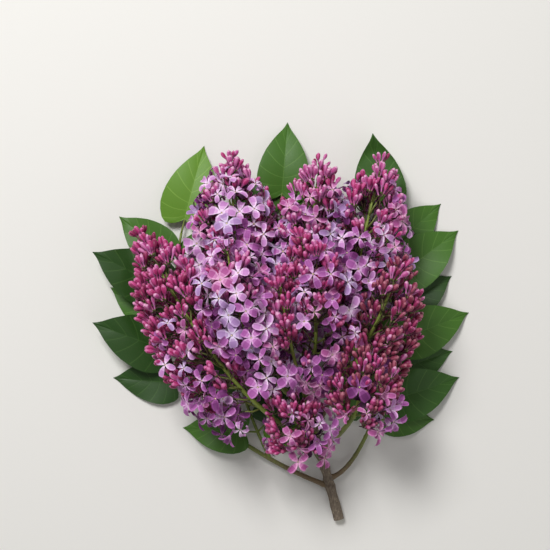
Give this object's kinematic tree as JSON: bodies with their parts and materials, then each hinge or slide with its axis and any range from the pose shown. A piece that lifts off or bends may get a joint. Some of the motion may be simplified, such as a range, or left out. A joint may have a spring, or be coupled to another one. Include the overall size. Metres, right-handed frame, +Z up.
{
  "type": "cut flowering lilac branch",
  "caption": "Cut flowering branch of common lilac lying flat: a short woody stem, green shoots, cone-shaped heads of four-lobed flowers and buds, and heart-shaped leaves.",
  "frame": {"origin": "under the middle of the branch's bounding box, on the surface it lies on", "axes": "+Z up; +Y from the cut foot to the tips of the flower heads; +X to the right as seen from above with +Y ahead"},
  "size_m": [0.3936, 0.4182, 0.1571],
  "materials": {
    "bark": "rough grey-brown bark",
    "green_wood": "smooth green young wood",
    "petals": "soft lilac petals",
    "mixed_flowers": "lilac petals among magenta buds",
    "buds": "magenta buds, faint sheen",
    "leaves": "smooth green leaves, faint sheen"
  },
  "bodies": {
    "root": {"main_stem": "bark", "bough_left": "green_wood", "bough_right": "green_wood", "bough_under": "green_wood", "shoot_left": "green_wood", "shoot_low_right": "green_wood", "shoot_back_left": "green_wood", "shoot_back_right": "green_wood", "shoot_centre": "green_wood", "panicle_left": "buds", "panicle_back_left": "mixed_flowers", "panicle_back_centre": "mixed_flowers", "panicle_back_right": "buds", "panicle_front_left": "petals", "panicle_centre": "mixed_flowers", "panicle_right": "buds", "panicle_low_right": "buds", "panicle_low": "buds", "panicle_small": "buds", "leaves_low": "leaves", "leaves_left": "leaves", "leaves_top": "leaves", "leaves_right": "leaves"}
  },
  "joints": []
}
